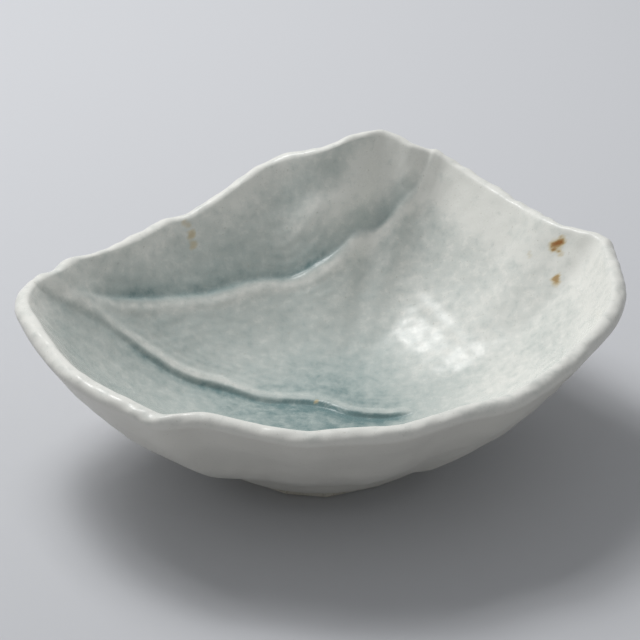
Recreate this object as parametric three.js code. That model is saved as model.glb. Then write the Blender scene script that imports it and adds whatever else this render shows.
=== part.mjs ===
import * as THREE from "three";

// Hand-formed stoneware bowl: a pressed shell with a torn, wavy rim and three raised corners,
// two pressed creases and one ridge inside, a pool of glaze in the well and a knife-cut foot ring.
// Millimetres, +Z up, standing on z = 0, with the low front of the rim towards -Y.

// Shell
const bowlRadius = 74; // nominal radius of the middle of the rim, in plan
const rimHeight = 45; // nominal height of the rim's inner edge
const wallThickness = 4.8;
const floorThickness = 4.7;
const wallPower = 3; // 2 gives an even dish, more gives a flat well and a late turn upwards
const lipRoundness = 0.9; // 1 gives a half-round lip

// Foot ring
const footRadius = 26.5;
const footWidth = 7;
const footHeight = 4.8;
const footTaper = 1.4; // how far the outer side leans in towards the table
const footChamfer = 0.8;
const footFacets = 13; // knife cuts round the outer side
const seatMargin = 2; // flat underside beyond the foot ring
const seatBlend = 10; // from the flat seat to the full wall

// Pressed relief of the inside
const creaseDepth = 1.8;
const creaseStep = 2.4;
const creaseRecovery = 9;
const creaseLip = 0.8;
const ridgeHeight = 1.5;
const ridgeWidth = 3.2;

// Glaze pool
const poolRows = 8; // rows of the inner grid that the pool covers
const poolDepth = 0.9;
const poolEdge = 0.3;
const poolClearance = 0.3;

// Grid
const columnsPerStation = 3;
const innerRows = 24;
const outerRows = 13;
const lipRows = 4;
const routeSteps = 60;

const floorTop = footHeight + floorThickness;
const seatRadius = footRadius + seatMargin;

// The rim all round: angle in degrees, then how far out and how far up from the nominal rim.
const rimStations = [
  [-180, 5.2, 1.1], [-172, 3.0, 0.8], [-163, 1.0, 0.4], [-152, -0.3, 0.0], [-142, -2.0, -0.3],
  [-132, -3.4, -0.7], [-125, -4.0, -1.4], [-117, -8.2, 0.0], [-108, -9.6, -0.8], [-95, -8.4, -1.5],
  [-84, -9.2, -1.6], [-73, -7.8, -1.4], [-63, -9.0, -1.2], [-55, -8.8, -1.1], [-46, -5.4, -0.9],
  [-37, -4.8, -0.6], [-26, -3.1, -0.2], [-16, -1.2, 0.1], [-6, 2.8, 0.6], [4, 6.0, 1.3],
  [14, 7.6, 1.8], [22, 10.0, 2.3], [27, 7.5, 2.2], [35, 3.6, 1.5], [44, 4.8, 1.1],
  [54, 6.6, 2.2], [62, 9.0, 4.5], [66.5, 9.2, 7.0], [71, 6.0, 9.6], [76, 6.4, 11.8],
  [81, 0.0, 14.0], [90, -5.0, 11.5], [100, -3.8, 8.2], [109, -7.6, 5.2], [118, -10.6, 2.2],
  [125, -10.4, -0.4], [131, -8.3, -1.1], [142, -9.2, -1.2], [152, -5.8, -1.1], [158, -2.0, -0.7],
  [164, -0.4, -0.2], [172, 4.0, 0.6],
];

// Routes of the relief in plan, as shares of the bowl's radius, each from its faint end.
const backCreaseRoute = [
  [-0.91, 0.19], [-0.77, 0.31], [-0.56, 0.42], [-0.455, 0.5], [-0.315, 0.56], [-0.17, 0.635],
  [0.045, 0.705], [0.155, 0.78], [0.25, 0.85], [0.32, 0.895], [0.395, 0.96], [0.475, 1.09],
];
const frontCreaseRoute = [
  [0.365, 0.03], [0.285, 0.03], [0.13, 0.05], [0.0, 0.12], [-0.21, 0.155], [-0.325, 0.175],
  [-0.495, 0.185], [-0.635, 0.21], [-0.71, 0.225], [-0.835, 0.22], [-0.98, 0.15],
];
const ridgeRoute = [
  [-0.26, 0.71], [-0.1, 0.775], [0.045, 0.81], [0.115, 0.85], [0.19, 0.915], [0.245, 0.97],
  [0.295, 1.1],
];

const clamp01 = (value) => Math.min(Math.max(value, 0), 1);
const smooth = (low, high, value) => {
  const share = clamp01((value - low) / (high - low));
  return share * share * (3 - 2 * share);
};

function rimCurve() {
  const points = rimStations.map(([degrees, out, up]) => {
    const angle = THREE.MathUtils.degToRad(degrees);
    const radius = bowlRadius + out;
    return new THREE.Vector3(radius * Math.cos(angle), radius * Math.sin(angle), rimHeight + up);
  });
  return new THREE.CatmullRomCurve3(points, true, "catmullrom", 0.5);
}

function routePoints(route) {
  const points = route.map(([x, y]) => new THREE.Vector3(x * bowlRadius, y * bowlRadius, 0));
  return new THREE.CatmullRomCurve3(points, false, "catmullrom", 0.5).getPoints(routeSteps);
}

const backCrease = { points: routePoints(backCreaseRoute), side: 1 };
const frontCrease = { points: routePoints(frontCreaseRoute), side: 1 };
const ridge = { points: routePoints(ridgeRoute), side: 1 };

// Distance in plan from a route, positive on its left, and the share of the route passed.
function besideRoute(route, x, y) {
  let best = { distance: Infinity, share: 0 };
  for (let index = 0; index < route.points.length - 1; index += 1) {
    const start = route.points[index];
    const end = route.points[index + 1];
    const alongX = end.x - start.x;
    const alongY = end.y - start.y;
    const length = alongX * alongX + alongY * alongY;
    const along = clamp01(((x - start.x) * alongX + (y - start.y) * alongY) / length);
    const gapX = x - start.x - along * alongX;
    const gapY = y - start.y - along * alongY;
    const distance = Math.hypot(gapX, gapY);
    if (distance < Math.abs(best.distance)) {
      const left = alongX * gapY - alongY * gapX >= 0 ? 1 : -1;
      best = { distance: distance * left, share: (index + along) / (route.points.length - 1) };
    }
  }
  return best;
}

// A crease is a soft lip on the floor's side, then a step down that recovers towards the rim.
function creaseRelief(route, x, y) {
  const { distance, share } = besideRoute(route, x, y);
  const lip = creaseLip * Math.exp(-(((distance + creaseStep) / creaseStep) ** 2));
  const step = smooth(0, creaseStep, distance);
  const groove = creaseDepth * step * Math.exp(-Math.max(distance, 0) / creaseRecovery);
  return (lip - groove) * smooth(0, 0.15, share);
}

function ridgeRelief(x, y) {
  const { distance, share } = besideRoute(ridge, x, y);
  return ridgeHeight * Math.exp(-((distance / ridgeWidth) ** 2)) * smooth(0, 0.3, share);
}

function reliefAt(x, y) {
  return creaseRelief(backCrease, x, y) + creaseRelief(frontCrease, x, y) + ridgeRelief(x, y);
}

// One radial section of the shell: the direction of its crest and how the wall climbs to it.
function sectionAt(crest, reach) {
  const crestRadius = Math.hypot(crest.x, crest.y);
  const innerRadius = crestRadius - wallThickness / 2;
  const climb = crest.z - floorTop;
  const slope = Math.atan((wallPower * climb * reach ** (wallPower - 1)) / innerRadius);
  return {
    outX: crest.x / crestRadius,
    outY: crest.y / crestRadius,
    radius: innerRadius * reach,
    height: floorTop + climb * reach ** wallPower,
    slope,
  };
}

function innerPoint(crest, reach, lift = 0) {
  const section = sectionAt(crest, reach);
  const x = section.outX * section.radius;
  const y = section.outY * section.radius;
  const raised = reliefAt(x, y) + lift;
  const radius = section.radius - raised * Math.sin(section.slope);
  const height = section.height + raised * Math.cos(section.slope);
  return new THREE.Vector3(section.outX * radius, section.outY * radius, height);
}

function outerPoint(crest, reach) {
  const section = sectionAt(crest, reach);
  const thickness = wallThickness + (floorThickness - wallThickness) * (1 - reach);
  const radius = section.radius + thickness * Math.sin(section.slope);
  const height = section.height - thickness * Math.cos(section.slope);
  const blend = smooth(seatRadius, seatRadius + seatBlend, radius);
  return new THREE.Vector3(
    section.outX * radius,
    section.outY * radius,
    footHeight + (height - footHeight) * blend,
  );
}

function lipPoint(crest, turn) {
  const inner = innerPoint(crest, 1);
  const outer = outerPoint(crest, 1);
  const section = sectionAt(crest, 1);
  const middle = inner.clone().add(outer).multiplyScalar(0.5);
  const across = outer.clone().sub(inner).multiplyScalar(0.5);
  const rise = across.length() * lipRoundness * Math.sin(turn);
  const upward = new THREE.Vector3(
    section.outX * Math.cos(section.slope),
    section.outY * Math.cos(section.slope),
    Math.sin(section.slope),
  );
  return middle.addScaledVector(across, Math.cos(turn)).addScaledVector(upward, rise);
}

const rim = rimCurve();
const columnCount = rimStations.length * columnsPerStation;
const crests = Array.from({ length: columnCount }, (_, column) => rim.getPoint(column / columnCount));

// Joins rows of points into one closed skin. Rows run round anticlockwise seen from above.
// With two poles the skin closes on them, and without poles the last row meets the first.
function closedSkin(rows, firstPole, lastPole) {
  const count = rows[0].length;
  const positions = rows.flat().flatMap((point) => [point.x, point.y, point.z]);
  const triangles = [];
  const joins = firstPole ? rows.length - 1 : rows.length;
  for (let row = 0; row < joins; row += 1) {
    const upper = (row + 1) % rows.length;
    for (let column = 0; column < count; column += 1) {
      const next = (column + 1) % count;
      const a = row * count + column;
      const b = row * count + next;
      const c = upper * count + next;
      const d = upper * count + column;
      triangles.push(a, b, c, a, c, d);
    }
  }
  if (firstPole) {
    const first = positions.length / 3;
    positions.push(firstPole.x, firstPole.y, firstPole.z, lastPole.x, lastPole.y, lastPole.z);
    const top = (rows.length - 1) * count;
    for (let column = 0; column < count; column += 1) {
      const next = (column + 1) % count;
      triangles.push(first, next, column);
      triangles.push(first + 1, top + column, top + next);
    }
  }
  const geometry = new THREE.BufferGeometry();
  geometry.setAttribute("position", new THREE.Float32BufferAttribute(positions, 3));
  geometry.setIndex(triangles);
  geometry.computeVertexNormals();
  return geometry;
}

function bowlBody() {
  const rows = [];
  for (let row = 1; row <= outerRows; row += 1) {
    rows.push(crests.map((crest) => outerPoint(crest, row / outerRows)));
  }
  for (let row = 1; row <= lipRows; row += 1) {
    const turn = (Math.PI * row) / (lipRows + 1);
    rows.push(crests.map((crest) => lipPoint(crest, turn)));
  }
  for (let row = innerRows; row >= 1; row -= 1) {
    rows.push(crests.map((crest) => innerPoint(crest, row / innerRows)));
  }
  return closedSkin(rows, new THREE.Vector3(0, 0, footHeight), innerPoint(crests[0], 0));
}

// The pool lies on the floor's own facets, one clearance above them, thickest in the middle.
function glazePool() {
  const thicknessAt = (row) => poolEdge + poolDepth * (1 - (row / poolRows) ** 2);
  const lower = [];
  const upper = [];
  for (let row = 1; row <= poolRows; row += 1) {
    const reach = row / innerRows;
    lower.push(crests.map((crest) => innerPoint(crest, reach, poolClearance)));
    upper.unshift(crests.map((crest) => innerPoint(crest, reach, poolClearance + thicknessAt(row))));
  }
  const under = innerPoint(crests[0], 0, poolClearance);
  const over = innerPoint(crests[0], 0, poolClearance + thicknessAt(0));
  return closedSkin([...lower, ...upper], under, over);
}

// Each knife cut leaves one flat facet, so the outer side is a polygon with uneven corners.
function footOutline(inset, turn) {
  const corners = Array.from({ length: footFacets }, (_, index) => {
    const uneven = 0.18 * Math.sin(index * 2.4 + turn);
    const angle = (2 * Math.PI * (index + uneven)) / footFacets;
    const radius = footRadius - inset;
    return new THREE.Vector2(radius * Math.cos(angle), radius * Math.sin(angle));
  });
  return corners.flatMap((corner, index) => {
    const next = corners[(index + 1) % footFacets];
    return [0, 1, 2, 3].map((step) => corner.clone().lerp(next, step / 4));
  });
}

function footRing() {
  const top = footOutline(0, 0);
  const waist = footOutline(footTaper * 0.8, 0.5);
  const bottom = footOutline(footTaper + footChamfer, 0.5);
  const at = (outline, height) => outline.map((point) => new THREE.Vector3(point.x, point.y, height));
  const inside = (radius, height) => top.map((point) => {
    const angle = Math.atan2(point.y, point.x);
    return new THREE.Vector3(radius * Math.cos(angle), radius * Math.sin(angle), height);
  });
  const innerRadius = footRadius - footWidth;
  return closedSkin([
    at(bottom, 0),
    at(waist, footChamfer),
    at(top, footHeight),
    inside(innerRadius, footHeight),
    inside(innerRadius + footChamfer, footChamfer),
    inside(innerRadius + 2 * footChamfer, 0),
  ]);
}

function piece(name, geometry, colour, roughness, metalness) {
  const material = new THREE.MeshStandardMaterial({ color: colour, roughness, metalness });
  const mesh = new THREE.Mesh(geometry, material);
  mesh.name = name;
  return mesh;
}

const bowl = new THREE.Group();
bowl.add(piece("bowl_body", bowlBody(), "#d9dcd4", 0.25, 0));
bowl.add(piece("glaze_pool", glazePool(), "#b4c3c1", 0.08, 0));
bowl.add(piece("foot_ring", footRing(), "#b5b2a4", 0.75, 0));

// The uneven outline is centred over the origin.
const middle = new THREE.Box3().setFromObject(bowl).getCenter(new THREE.Vector3());
bowl.position.set(-middle.x, -middle.y, 0);
bowl.updateMatrixWorld(true);

export default bowl;
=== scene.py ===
import math
import bpy
import numpy as np
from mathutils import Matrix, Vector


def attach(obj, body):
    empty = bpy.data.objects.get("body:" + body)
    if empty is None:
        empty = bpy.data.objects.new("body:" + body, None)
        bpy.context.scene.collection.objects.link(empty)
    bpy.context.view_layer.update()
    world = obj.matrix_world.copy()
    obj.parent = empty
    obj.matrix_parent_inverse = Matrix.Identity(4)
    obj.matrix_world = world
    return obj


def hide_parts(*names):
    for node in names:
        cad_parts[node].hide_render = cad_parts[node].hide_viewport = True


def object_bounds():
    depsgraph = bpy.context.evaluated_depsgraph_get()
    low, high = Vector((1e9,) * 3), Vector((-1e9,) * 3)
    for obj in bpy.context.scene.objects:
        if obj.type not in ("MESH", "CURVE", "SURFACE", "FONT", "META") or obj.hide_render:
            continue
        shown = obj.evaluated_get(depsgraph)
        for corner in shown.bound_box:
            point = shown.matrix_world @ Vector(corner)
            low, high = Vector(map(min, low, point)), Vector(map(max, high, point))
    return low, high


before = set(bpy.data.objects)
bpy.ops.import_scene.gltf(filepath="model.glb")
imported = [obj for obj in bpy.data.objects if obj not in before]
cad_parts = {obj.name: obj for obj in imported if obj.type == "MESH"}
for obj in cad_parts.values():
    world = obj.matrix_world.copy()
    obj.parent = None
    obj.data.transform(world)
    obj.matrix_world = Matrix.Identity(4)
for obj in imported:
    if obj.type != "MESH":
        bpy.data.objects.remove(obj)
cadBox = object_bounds()
print("frame loaded, size in mm:", [round(1000 * v, 1) for v in cadBox[1] - cadBox[0]])

mm = 0.001
footCentre = (-0.3674, -6.3083)  # mm, where the middle of the foot stands in the frame

# The bowl's form, in mm from the middle of the foot
bowlForm = {
    "radius": 74,
    "rimHeight": 45,
    "wall": 4.8,
    "floor": 4.7,
    "wallPower": 3,
    "lipRoundness": 0.9,
    "seatHeight": 4.8,
    "seatRadius": 28.5,
    "seatBlend": 10,
    "columnsPerStation": 12,
    "innerRows": 150,
    "lipRows": 14,
    "outerRows": 90,
}

# The rim all round: angle in degrees, then how far out and how far up from the nominal rim
rimStations = [
    [-180, 5.2, 1.1], [-172, 3.0, 0.8], [-163, 1.0, 0.4], [-152, -0.3, 0.0], [-142, -2.0, -0.3],
    [-132, -3.4, -0.7], [-125, -4.0, -1.4], [-117, -8.2, 0.0], [-108, -9.6, -0.8], [-95, -8.4, -1.5],
    [-84, -9.2, -1.6], [-73, -7.8, -1.4], [-63, -9.0, -1.2], [-55, -8.8, -1.1], [-46, -5.4, -0.9],
    [-37, -4.8, -0.6], [-26, -3.1, -0.2], [-16, -1.2, 0.1], [-6, 2.8, 0.6], [4, 6.0, 1.3],
    [14, 7.6, 1.8], [22, 10.0, 2.3], [27, 7.5, 2.2], [35, 3.6, 1.5], [44, 4.8, 1.1],
    [54, 6.6, 2.2], [62, 9.0, 4.5], [66.5, 9.2, 7.0], [71, 6.0, 9.6], [76, 6.4, 11.8],
    [81, 0.0, 14.0], [90, -5.0, 11.5], [100, -3.8, 8.2], [109, -7.6, 5.2], [118, -10.6, 2.2],
    [125, -10.4, -0.4], [131, -8.3, -1.1], [142, -9.2, -1.2], [152, -5.8, -1.1], [158, -2.0, -0.7],
    [164, -0.4, -0.2], [172, 4.0, 0.6],
]

# Pressed creases and the ridge, seen from above, as shares of the radius
reliefRoutes = {
    "backCrease": [
        [-0.91, 0.19], [-0.77, 0.31], [-0.56, 0.42], [-0.455, 0.5], [-0.315, 0.56], [-0.17, 0.635],
        [0.045, 0.705], [0.155, 0.78], [0.25, 0.85], [0.32, 0.895], [0.395, 0.96], [0.475, 1.09],
    ],
    "frontCrease": [
        [0.365, 0.03], [0.285, 0.03], [0.13, 0.05], [0.0, 0.12], [-0.21, 0.155], [-0.325, 0.175],
        [-0.495, 0.185], [-0.635, 0.21], [-0.71, 0.225], [-0.835, 0.22], [-0.98, 0.15],
    ],
    "ridge": [
        [-0.26, 0.71], [-0.1, 0.775], [0.045, 0.81], [0.115, 0.85], [0.19, 0.915], [0.245, 0.97],
        [0.295, 1.1],
    ],
}
reliefForm = {
    "creaseDepth": 1.25,
    "creaseStep": 1.3,
    "creaseRecovery": 8,
    "creaseLip": 0.3,
    "ridgeHeight": 0.9,
    "ridgeWidth": 2.8,
    "strokeDepth": 0.05,  # finger strokes beside the creases
    "strokeWidth": 2.1,
    "strokeReach": 13,  # how far from a crease the strokes die away
    "wander": 0.5,  # how far a crease strays from its route
    "creaseFadeIn": 0.15,  # share of a route over which its relief begins
    "creaseFadeOut": 0.6,  # how much of a crease is lost by the rim
    "ridgeFadeIn": 0.3,
    "undulation": 0.2,  # slow unevenness of the pressed wall
    "ripple": 0.05,
    "rimTear": 0.24,  # small lumps along the torn rim
    "rimTearLevel": 0.6,
    "handMarks": 0.4,  # outside
    "toolMarks": 0.1,
    "calmReach": 0.3,  # the wall is at its evenest from the middle out to this share
    "calmColumns": 18,  # one part in this many of the rim evens each column out
}

# Sizes in mm and seeds of the random fields
fields = {
    "wander": (24, 5),
    "undulation": (30, 11),
    "ripple": (5, 12),
    "handMarks": (26, 21),
    "toolMarks": (7, 22),
    "tearLumps": (12, 31),
    "tearGrains": (5, 32),
    "spotEdge": (2.2, 41),
}

# How thick the glaze lies, from 0, thin and white, to 1, deep and blue-green; the side entries and
# the ridge's shadow band also paint shade and light into it
glazeForm = {
    "wall": 0.3,
    # the two side entries are partly painted shade on the left and painted light on the right, partly
    # the glaze's own tone
    "leftShadeAndGlaze": 0.13,
    "rightLightAndGlaze": 0.16,
    "well": 0.5,
    "wellEdges": (0.1, 0.62),  # full inside the first share of the way out, none beyond the second
    "creases": 0.8,
    "creasePool": 2.4,  # how far from a crease its pool dies away, in mm
    "strokes": 0.06,
    # painted shadow: a band of deeper, darker glaze beside the ridge
    "ridgeShadowBand": 0.35,
    "bareEdges": 0.3,
    "rim": 0.35,
    "rimStart": 0.86,
    "outside": 0.12,
    "lip": 0.02,
}

# Iron spots in the glaze: place in mm, radius in mm, strength
ironSpots = [
    [65.0, 37.0, 43.8, 2.0, 1.0],
    [65.4, 36.0, 41.8, 1.3, 0.6],
    [64.4, 30.2, 36.1, 1.5, 0.6],
    [58.0, 40.0, 38.5, 1.0, 0.25],
    [-36.4, 49.0, 43.6, 1.3, 0.42],
    [-35.6, 47.6, 41.0, 1.5, 0.4],
    [-34.7, 46.4, 38.6, 1.6, 0.34],
    [-0.5, 9.0, 9.6, 0.9, 0.6],
    [-29.0, 43.0, 33.0, 0.9, 0.3],
]


def smooth(low, high, value):
    share = np.clip((value - low) / (high - low), 0, 1)
    return share * share * (3 - 2 * share)


def catmullRom(points, closed, steps):
    # steps samples for each span of a uniform spline through the points
    points = np.asarray(points, float)
    count = len(points)
    spans = count if closed else count - 1
    result = []
    for span in range(spans):
        ids = [span - 1, span, span + 1, span + 2]
        if closed:
            p0, p1, p2, p3 = (points[i % count] for i in ids)
        else:
            p1, p2 = points[span], points[span + 1]
            p0 = points[span - 1] if span > 0 else 2 * p1 - p2
            p3 = points[span + 2] if span + 2 < count else 2 * p2 - p1
        t = np.linspace(0, 1, steps, endpoint=False)[:, None]
        a = 2 * p1
        b = p2 - p0
        c = 2 * p0 - 5 * p1 + 4 * p2 - p3
        d = -p0 + 3 * p1 - 3 * p2 + p3
        result.append(0.5 * (a + b * t + c * t ** 2 + d * t ** 3))
    if not closed:
        result.append(points[-1:])
    return np.concatenate(result)


def unevenness(x, y, z, field, waves=14):
    # a smooth random field with hollows about one size apart, mostly between -1 and 1
    size, seed = fields[field]
    random = np.random.default_rng(seed)
    total = np.zeros_like(x)
    for _ in range(waves):
        direction = random.normal(size=3)
        direction /= np.linalg.norm(direction)
        pitch = size * random.uniform(0.7, 1.5)
        phase = random.uniform(0, 2 * math.pi)
        along = x * direction[0] + y * direction[1] + z * direction[2]
        total += np.sin(2 * math.pi * along / pitch + phase)
    return total / math.sqrt(waves)


def besideRoute(points, x, y):
    # distance from the route in plan, positive on its left, and the share of the route passed
    starts, ends = points[:-1], points[1:]
    bestDistance = np.full(x.shape, 1e9)
    bestSigned = np.zeros(x.shape)
    bestShare = np.zeros(x.shape)
    for index, (start, end) in enumerate(zip(starts, ends)):
        ax, ay = end - start
        along = np.clip(((x - start[0]) * ax + (y - start[1]) * ay) / (ax * ax + ay * ay), 0, 1)
        gx = x - start[0] - along * ax
        gy = y - start[1] - along * ay
        distance = np.hypot(gx, gy)
        nearer = distance < bestDistance
        side = np.where(ax * gy - ay * gx >= 0, 1.0, -1.0)
        bestDistance = np.where(nearer, distance, bestDistance)
        bestSigned = np.where(nearer, distance * side, bestSigned)
        bestShare = np.where(nearer, (index + along) / len(starts), bestShare)
    return bestSigned, bestShare


routes = {
    name: catmullRom(np.array(points) * bowlForm["radius"], False, 6)
    for name, points in reliefRoutes.items()
}


def reliefAt(x, y):
    # height of the relief, how deep the glaze gathers beside it, and a painted shadow of deeper glaze
    # in a band beside the ridge
    form = reliefForm
    relief = np.zeros_like(x)
    gatheredGlazeAndShade = np.zeros_like(x)
    bare = np.zeros_like(x)
    wander = unevenness(x, y, 0 * x, "wander")
    for name in ("backCrease", "frontCrease"):
        distance, share = besideRoute(routes[name], x, y)
        distance = distance + form["wander"] * wander
        faint = smooth(0, form["creaseFadeIn"], share)
        faint = faint * (1 - form["creaseFadeOut"] * smooth(0.6, 0.95, share))
        step = form["creaseStep"]
        lip = form["creaseLip"] * np.exp(-((distance + step) / step) ** 2)
        groove = smooth(0, step, distance) * np.exp(-np.maximum(distance, 0) / form["creaseRecovery"])
        strokes = np.sin(2 * math.pi * distance / form["strokeWidth"] + 3 * wander)
        near = np.exp(-(distance / form["strokeReach"]) ** 2) * faint
        relief += (lip - form["creaseDepth"] * groove) * faint
        relief += form["strokeDepth"] * strokes * near * (0.5 + 0.5 * wander)
        pooled = smooth(-0.6, step, distance)
        pooled = pooled * np.exp(-np.maximum(distance, 0) / glazeForm["creasePool"])
        gatheredGlazeAndShade += pooled * faint * (0.85 + 0.25 * wander)
        gatheredGlazeAndShade += glazeForm["strokes"] * near * (0.5 + 0.5 * strokes)
        bare += np.exp(-((distance + step) / (1.3 * step)) ** 2) * faint
    distance, share = besideRoute(routes["ridge"], x, y)
    faint = smooth(0, form["ridgeFadeIn"], share)
    crest = np.exp(-(distance / form["ridgeWidth"]) ** 2)
    relief += form["ridgeHeight"] * crest * faint
    # painted shadow: deeper glaze in a band beside the ridge
    gatheredGlazeAndShade += glazeForm["ridgeShadowBand"] * np.exp(-((distance - 5) / 3) ** 2) * faint
    bare += crest * faint
    return relief, gatheredGlazeAndShade, bare


def crestsOf(form):
    angles = np.radians([s[0] for s in rimStations])
    radii = form["radius"] + np.array([s[1] for s in rimStations])
    heights = form["rimHeight"] + np.array([s[2] for s in rimStations])
    points = np.stack([radii * np.cos(angles), radii * np.sin(angles), heights], 1)
    return catmullRom(points, True, form["columnsPerStation"])


def calmed(crests, reach):
    # the wall below the rim is evener than the torn rim itself
    spread = len(crests) // reliefForm["calmColumns"]
    if spread == 0:
        return crests
    window = np.hanning(2 * spread + 1)
    window /= window.sum()
    wrapped = np.concatenate([crests[-spread:], crests, crests[:spread]])
    even = np.stack([np.convolve(wrapped[:, axis], window, "valid") for axis in range(3)], 1)
    share = smooth(reliefForm["calmReach"], 1.0, reach)
    return even * (1 - share) + crests * share


def sectionsOf(form, crests, reach):
    # each column's wall at that share of the way out from the middle
    crestRadius = np.hypot(crests[:, 0], crests[:, 1])
    inner = crestRadius - form["wall"] / 2
    floorTop = form["seatHeight"] + form["floor"]
    climb = crests[:, 2] - floorTop
    power = form["wallPower"]
    slope = np.arctan(power * climb * reach ** (power - 1) / inner)
    return {
        "outX": crests[:, 0] / crestRadius,
        "outY": crests[:, 1] / crestRadius,
        "radius": inner * reach,
        "height": floorTop + climb * reach ** power,
        "slope": slope,
    }


def innerRing(form, crests, reach, lift=0.0):
    part = sectionsOf(form, calmed(crests, reach), reach)
    x = part["outX"] * part["radius"]
    y = part["outY"] * part["radius"]
    relief, gatheredGlazeAndShade, bare = reliefAt(x, y)
    slow = unevenness(x, y, part["height"], "undulation") * reliefForm["undulation"]
    slow = slow * smooth(0.1, 0.5, reach)
    fine = unevenness(x, y, part["height"], "ripple") * reliefForm["ripple"]
    raised = relief + slow + fine + lift
    radius = part["radius"] - raised * np.sin(part["slope"])
    height = part["height"] + raised * np.cos(part["slope"])
    points = np.stack([part["outX"] * radius, part["outY"] * radius, height], 1)
    glazing = glazeForm
    depth = glazing["wall"] + glazing["creases"] * gatheredGlazeAndShade
    # painted shade: deeper, darker glaze towards the left; painted light: thinner, whiter glaze
    # towards the right; both partly the glaze's own tone
    depth = depth + glazing["leftShadeAndGlaze"] * (1 - smooth(-45, 10, x))
    depth = depth - glazing["rightLightAndGlaze"] * smooth(5, 50, x)
    depth = depth + glazing["well"] * (1 - smooth(*glazing["wellEdges"], reach))
    depth = depth - glazing["bareEdges"] * bare
    depth = depth - glazing["rim"] * smooth(glazing["rimStart"], 1.0, reach)
    return points, np.clip(depth, 0, 1)


def outerRing(form, crests, reach):
    part = sectionsOf(form, calmed(crests, reach), reach)
    thickness = form["wall"] + (form["floor"] - form["wall"]) * (1 - reach)
    radius = part["radius"] + thickness * np.sin(part["slope"])
    height = part["height"] - thickness * np.cos(part["slope"])
    x = part["outX"] * radius
    y = part["outY"] * radius
    blend = smooth(form["seatRadius"], form["seatRadius"] + form["seatBlend"], radius)
    # marks of hand and tool, which die away at the seat and at the rim
    marks = reliefForm["handMarks"] * unevenness(x, y, height, "handMarks")
    marks = marks + reliefForm["toolMarks"] * unevenness(x, y, height, "toolMarks")
    pushed = marks * blend * smooth(1.0, 0.9, reach)
    radius = radius + pushed * np.sin(part["slope"])
    height = height - pushed * np.cos(part["slope"])
    height = form["seatHeight"] + (height - form["seatHeight"]) * blend
    points = np.stack([part["outX"] * radius, part["outY"] * radius, height], 1)
    return points, np.full(len(crests), glazeForm["outside"])


def lipRing(form, crests, turn):
    # turn 0 is the outer edge of the rim and half a turn the inner one
    inner, _ = innerRing(form, crests, 1.0)
    outer, _ = outerRing(form, crests, 1.0)
    part = sectionsOf(form, crests, 1.0)
    across = (outer - inner) / 2
    rise = np.linalg.norm(across, axis=1) * form["lipRoundness"] * math.sin(turn)
    cosine = np.cos(part["slope"])
    upward = np.stack([part["outX"] * cosine, part["outY"] * cosine, np.sin(part["slope"])], 1)
    points = (inner + outer) / 2 + across * math.cos(turn) + upward * rise[:, None]
    lumps = unevenness(*points.T, "tearLumps") + 0.6 * unevenness(*points.T, "tearGrains")
    torn = reliefForm["rimTear"] * (lumps - reliefForm["rimTearLevel"]) * math.sin(turn)
    points += upward * torn[:, None]
    return points, np.full(len(crests), glazeForm["lip"])


def meshOf(name, rings, depths, outside, poles):
    # joins the rings into one closed skin that ends on two poles
    columns = len(rings[0])
    points = np.concatenate(rings + [np.array(poles)])
    rows = len(rings)
    ids = np.arange(rows * columns).reshape(rows, columns)
    after = np.roll(ids, -1, axis=1)
    quads = np.stack([ids[:-1], after[:-1], after[1:], ids[1:]], -1).reshape(-1, 4).tolist()
    first, last = rows * columns, rows * columns + 1
    fans = [[first, int(b), int(a)] for a, b in zip(ids[0], after[0])]
    fans += [[last, int(a), int(b)] for a, b in zip(ids[-1], after[-1])]
    centre = np.array([*footCentre, 0])
    points = (points + centre) * mm
    points = np.clip(points, np.array(cadBox[0]), np.array(cadBox[1]))
    mesh = bpy.data.meshes.new(name)
    mesh.from_pydata(points.tolist(), [], quads + fans)
    values = {
        "glazeDepthWithPaintedShadeAndLight": np.concatenate(depths + [depths[0][:1], depths[-1][:1]]),
        "outerSide": np.concatenate(outside + [outside[0][:1], outside[-1][:1]]),
    }
    local = points / mm - centre
    iron = np.zeros(len(points))
    ragged = 0.35 * unevenness(*local.T, "spotEdge")
    for x, y, z, radius, strength in ironSpots:
        distance = np.linalg.norm(local - np.array([x, y, z]), axis=1) / radius
        iron = np.maximum(iron, strength * (1 - smooth(0.3, 1.5, distance + ragged)))
    values["iron"] = iron * (values["outerSide"] < 0.5)
    for key, data in values.items():
        layer = mesh.attributes.new(key, "FLOAT", "POINT")
        layer.data.foreach_set("value", data.astype(np.float32))
    mesh.polygons.foreach_set("use_smooth", [True] * len(mesh.polygons))
    mesh.update()
    piece = bpy.data.objects.new(name, mesh)
    bpy.context.scene.collection.objects.link(piece)
    return piece


def makeShell():
    form = bowlForm
    crests = crestsOf(form)
    rings, depths, outside = [], [], []
    for row in range(1, form["outerRows"] + 1):
        points, depth = outerRing(form, crests, row / form["outerRows"])
        rings.append(points)
        depths.append(depth)
        outside.append(np.ones(len(crests)))
    for row in range(1, form["lipRows"] + 1):
        turn = math.pi * row / (form["lipRows"] + 1)
        points, depth = lipRing(form, crests, turn)
        rings.append(points)
        depths.append(depth)
        outside.append(np.full(len(crests), max(0, 1 - 2 * row / (form["lipRows"] + 1))))
    for row in range(form["innerRows"], 0, -1):
        points, depth = innerRing(form, crests, row / form["innerRows"])
        rings.append(points)
        depths.append(depth)
        outside.append(np.zeros(len(crests)))
    middle, _ = innerRing(form, crests[:1], 0.0)
    return meshOf("bowlShell", rings, depths, outside, [[0, 0, form["seatHeight"]], middle[0]])


# The pool's edge dips just under the shell's surface, so that it shows no step
poolForm = {
    "reach": 0.36,  # share of the way out to the rim
    "depth": 0.8,
    "edgeDip": 0.03,
    "sunk": 0.5,
    "sunkEdge": 0.05,
    "rows": 40,
}


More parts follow.
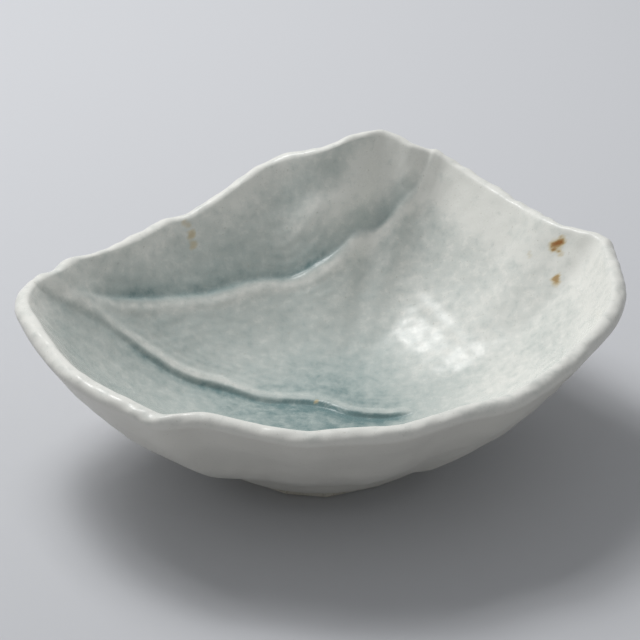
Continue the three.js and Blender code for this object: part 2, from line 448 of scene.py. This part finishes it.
def makePool():
    form = poolForm
    crests = crestsOf(bowlForm)
    lower, upper, lowDepths, upDepths = [], [], [], []
    for row in range(1, form["rows"] + 1):
        share = row / form["rows"]
        reach = form["reach"] * share
        thickness = form["depth"] * (1 - share ** 2) ** 2 - form["edgeDip"]
        points, depth = innerRing(bowlForm, crests, reach, thickness)
        upper.insert(0, points)
        upDepths.insert(0, depth)
        sunk = form["sunk"] * (1 - share ** 4) + form["sunkEdge"]
        points, depth = innerRing(bowlForm, crests, reach, -sunk)
        lower.append(points)
        lowDepths.append(depth)
    top, _ = innerRing(bowlForm, crests[:1], 0.0, form["depth"] - form["edgeDip"])
    under, _ = innerRing(bowlForm, crests[:1], 0.0, -form["sunk"] - form["sunkEdge"])
    rings = lower + upper
    outside = [np.zeros(len(crests))] * len(rings)
    return meshOf("glazePool", rings, lowDepths + upDepths, outside, [under[0], top[0]])


def addNode(tree, kind, **inputs):
    node = tree.nodes.new(kind)
    for key, value in inputs.items():
        node.inputs[key].default_value = value
    return node


def noiseNode(tree, scale, detail=3.0, roughness=0.55):
    place = tree.nodes.new("ShaderNodeTexCoord")
    noise = addNode(tree, "ShaderNodeTexNoise", Scale=scale, Detail=detail, Roughness=roughness)
    tree.links.new(place.outputs["Object"], noise.inputs["Vector"])
    return noise.outputs["Fac"]


def mathNode(tree, operation, first, second):
    node = tree.nodes.new("ShaderNodeMath")
    node.operation = operation
    for socket, value in zip(node.inputs, (first, second)):
        if isinstance(value, (int, float)):
            socket.default_value = value
        else:
            tree.links.new(value, socket)
    return node.outputs[0]


def rampNode(tree, value, stops):
    node = tree.nodes.new("ShaderNodeValToRGB")
    ramp = node.color_ramp
    while len(ramp.elements) < len(stops):
        ramp.elements.new(0.5)
    for element, (position, colour) in zip(ramp.elements, stops):
        element.position = position
        element.color = (*colour, 1)
    tree.links.new(value, node.inputs["Fac"])
    return node.outputs["Color"]


def mixNode(tree, share, first, second):
    node = tree.nodes.new("ShaderNodeMix")
    node.data_type = "RGBA"
    for socket, value in ((node.inputs[0], share), (node.inputs[6], first), (node.inputs[7], second)):
        if isinstance(value, (int, float)):
            socket.default_value = value
        elif isinstance(value, tuple):
            socket.default_value = (*value, 1)
        else:
            tree.links.new(value, socket)
    return node.outputs[2]


def attributeNode(tree, name):
    node = tree.nodes.new("ShaderNodeAttribute")
    node.attribute_name = name
    return node.outputs["Fac"]


def bumpNode(tree, height, strength, distance, below=None):
    node = addNode(tree, "ShaderNodeBump", Strength=strength, Distance=distance)
    tree.links.new(height, node.inputs["Height"])
    if below is not None:
        tree.links.new(below, node.inputs["Normal"])
    return node.outputs["Normal"]


glazeLook = {
    "thin": (0.84, 0.84, 0.795),
    "milky": (0.60, 0.635, 0.605),
    "green": (0.40, 0.465, 0.45),
    "deep": (0.16, 0.245, 0.25),
    "outer": (0.70, 0.685, 0.63),
    "ironEdge": (0.62, 0.50, 0.28),
    "ironCore": (0.34, 0.15, 0.045),
    "dust": (0.42, 0.40, 0.34),
    "dustShare": 0.35,
    "cloudScale": 55,
    "cloudShare": 0.4,
    "mottleScale": 330,
    "mottleShare": 0.75,
    "speckleScale": 1400,
    "roughness": 0.25,
    "roughnessSpread": 0.16,
    "outerRoughness": 0.14,  # added outside
}


def makeGlaze(name, look):
    material = bpy.data.materials.new(name)
    material.use_nodes = True
    tree = material.node_tree
    shader = tree.nodes["Principled BSDF"]
    cloud = noiseNode(tree, look["cloudScale"], 4)
    mottle = noiseNode(tree, look["mottleScale"], 4, 0.7)
    speckle = noiseNode(tree, look["speckleScale"], 2)
    # the depth attribute carries the glaze's thickness with painted shade and painted light mixed in
    depth = attributeNode(tree, "glazeDepthWithPaintedShadeAndLight")
    for noise, share in ((cloud, look["cloudShare"]), (mottle, look["mottleShare"])):
        swing = mathNode(tree, "MULTIPLY", mathNode(tree, "SUBTRACT", noise, 0.5), share)
        depth = mathNode(tree, "ADD", depth, swing)
    inside = rampNode(tree, depth, [(0.0, look["thin"]), (0.32, look["milky"]),
                                    (0.68, look["green"]), (1.0, look["deep"])])
    outerShade = tuple(0.93 * channel for channel in look["outer"])
    outer = rampNode(tree, cloud, [(0.3, outerShade), (0.7, look["outer"])])
    colour = mixNode(tree, attributeNode(tree, "outerSide"), inside, outer)
    dust = rampNode(tree, speckle, [(0.66, (0, 0, 0)), (0.74, (1, 1, 1))])
    colour = mixNode(tree, mathNode(tree, "MULTIPLY", dust, look["dustShare"]), colour, look["dust"])
    iron = attributeNode(tree, "iron")
    stain = rampNode(tree, iron, [(0.35, look["ironEdge"]), (0.85, look["ironCore"])])
    stained = rampNode(tree, iron, [(0.05, (0, 0, 0)), (0.55, (1, 1, 1))])
    colour = mixNode(tree, stained, colour, stain)
    tree.links.new(colour, shader.inputs["Base Color"])
    spread = mathNode(tree, "MULTIPLY", mottle, look["roughnessSpread"])
    rough = mathNode(tree, "ADD", spread, look["roughness"] - 0.06)
    dry = mathNode(tree, "MULTIPLY", attributeNode(tree, "outerSide"), look["outerRoughness"])
    tree.links.new(mathNode(tree, "ADD", rough, dry), shader.inputs["Roughness"])
    slow = bumpNode(tree, cloud, 0.08, 0.0008)
    peel = bumpNode(tree, mottle, 0.16, 0.0002, slow)
    tree.links.new(bumpNode(tree, speckle, 0.1, 0.00008, peel), shader.inputs["Normal"])
    return material


clayLook = {
    "pale": (0.60, 0.57, 0.49),
    "dark": (0.40, 0.36, 0.29),
    "wash": (0.68, 0.67, 0.61),
    "patchScale": 90,
    "grainScale": 1600,
    "roughness": 0.9,
}


def makeClay(name, look):
    material = bpy.data.materials.new(name)
    material.use_nodes = True
    tree = material.node_tree
    shader = tree.nodes["Principled BSDF"]
    patches = noiseNode(tree, look["patchScale"], 4)
    grain = noiseNode(tree, look["grainScale"], 3, 0.7)
    clay = rampNode(tree, grain, [(0.35, look["dark"]), (0.5, look["pale"])])
    washed = rampNode(tree, patches, [(0.42, (0, 0, 0)), (0.6, (1, 1, 1))])
    tree.links.new(mixNode(tree, washed, clay, look["wash"]), shader.inputs["Base Color"])
    rough = mathNode(tree, "ADD", mathNode(tree, "MULTIPLY", patches, -0.4), look["roughness"])
    tree.links.new(rough, shader.inputs["Roughness"])
    cuts = bumpNode(tree, patches, 0.4, 0.0008)
    tree.links.new(bumpNode(tree, grain, 0.5, 0.0002, cuts), shader.inputs["Normal"])
    return material


glaze = makeGlaze("milkyGlaze", glazeLook)

shell = makeShell()
shell.data.materials.append(glaze)
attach(shell, "root")
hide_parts("bowl_body")
print("shell made:", len(shell.data.polygons), "faces")

pool = makePool()
pool.data.materials.append(glaze)
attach(pool, "root")
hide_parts("glaze_pool")
print("glaze pool made:", len(pool.data.polygons), "faces")

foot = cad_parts["foot_ring"]
clay = makeClay("cutClay", clayLook)
for footSlot in foot.material_slots:
    footSlot.material = clay
print("foot ring finished")

stageLook = {
    "floor": (0.585, 0.595, 0.62),
    "floorReach": 4,  # metres each way
    "floorRoughness": 0.9,
    "world": (0.97, 0.985, 1.0),
    "worldStrength": 0.33,
    "keyPlace": (-0.316, 0.382, 0.771),
    "lamps": [  # name, watts, size in metres, seen in the gloss
        ("softWindow", 5.2, 0.5, False),
        ("windowGlint", 1.3, 0.17, True),
    ],
}


def makeStage(look):
    mesh = bpy.data.meshes.new("floor")
    reach = look["floorReach"]
    corners = [(-reach, -reach, 0), (reach, -reach, 0), (reach, reach, 0), (-reach, reach, 0)]
    mesh.from_pydata(corners, [], [(0, 1, 2, 3)])
    floor = bpy.data.objects.new("floor", mesh)
    bpy.context.scene.collection.objects.link(floor)
    paper = bpy.data.materials.new("paleFloor")
    paper.use_nodes = True
    shader = paper.node_tree.nodes["Principled BSDF"]
    shader.inputs["Base Color"].default_value = (*look["floor"], 1)
    shader.inputs["Roughness"].default_value = look["floorRoughness"]
    mesh.materials.append(paper)
    world = bpy.data.worlds.new("softRoom")
    world.use_nodes = True
    back = world.node_tree.nodes["Background"]
    back.inputs["Color"].default_value = (*look["world"], 1)
    back.inputs["Strength"].default_value = look["worldStrength"]
    bpy.context.scene.world = world
    for name, watts, size, glossy in look["lamps"]:
        lamp = bpy.data.lights.new(name, "AREA")
        lamp.energy = watts
        lamp.size = size
        window = bpy.data.objects.new(name, lamp)
        window.location = look["keyPlace"]
        window.rotation_mode = "QUATERNION"
        window.rotation_quaternion = window.location.to_track_quat("Z", "Y")
        window.visible_glossy = glossy
        bpy.context.scene.collection.objects.link(window)


makeStage(stageLook)

cameraView = {
    "distance": 1.0,  # from the middle of the foot, in metres
    "elevation": 31,  # of the camera's place
    "pitch": 61.02,  # from straight down
    "lens": 207.56,
    "sensor": 36,
}
camera = bpy.data.objects.new("camera", bpy.data.cameras.new("camera"))
bpy.context.scene.collection.objects.link(camera)
tilt = math.radians(cameraView["elevation"])
camera.location = (
    footCentre[0] * mm,
    footCentre[1] * mm - cameraView["distance"] * math.cos(tilt),
    cameraView["distance"] * math.sin(tilt),
)
camera.rotation_euler = (math.radians(cameraView["pitch"]), 0, 0)
camera.data.lens = cameraView["lens"]
camera.data.sensor_width = cameraView["sensor"]
camera.data.clip_start = 0.05
camera.data.clip_end = 20
bpy.context.scene.camera = camera
bpy.context.scene.view_settings.view_transform = "Standard"
print("stage, lamp and camera placed")
